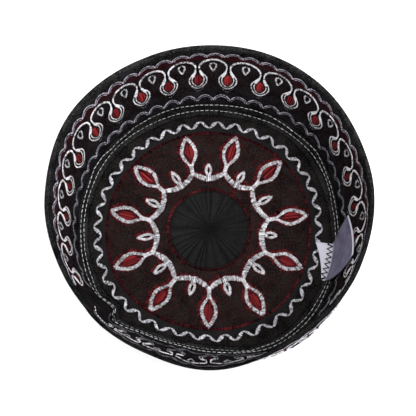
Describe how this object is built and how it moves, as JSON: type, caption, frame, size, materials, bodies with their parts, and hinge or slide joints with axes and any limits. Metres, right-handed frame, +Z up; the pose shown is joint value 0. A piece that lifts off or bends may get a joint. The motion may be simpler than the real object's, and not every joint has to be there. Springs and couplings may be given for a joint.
{
  "type": "kufi cap",
  "caption": "Round flat-topped kufi cap of embroidered cloth, lying upside down on its crown, with a gathered rosette, topstitched corner, plain turned hem and blank label.",
  "frame": {"origin": "on the ground under the middle of the cap as it lies on its crown", "axes": "+Z up, out of the opening, so the crown is at the bottom; the label stands at +X, a little towards -Y, and the band's sewn join is at -X and -Y"},
  "size_m": [0.1924, 0.1945, 0.082],
  "materials": {
    "crown_cloth": "black and dark maroon woven cloth under silver and red machine embroidery",
    "rosette_cloth": "black cloth gathered in fine pleats",
    "plain_cloth": "plain black woven cloth with pale topstitching",
    "band_cloth": "black cloth under silver, dark red and lilac-grey machine embroidery",
    "label_cloth": "thin woven satin ribbon, pale lilac"
  },
  "bodies": {
    "root": {"crown": "crown_cloth", "crown_rosette": "rosette_cloth", "seam_tape": "plain_cloth", "band": "band_cloth", "hem": "plain_cloth", "label": "label_cloth"}
  },
  "joints": []
}
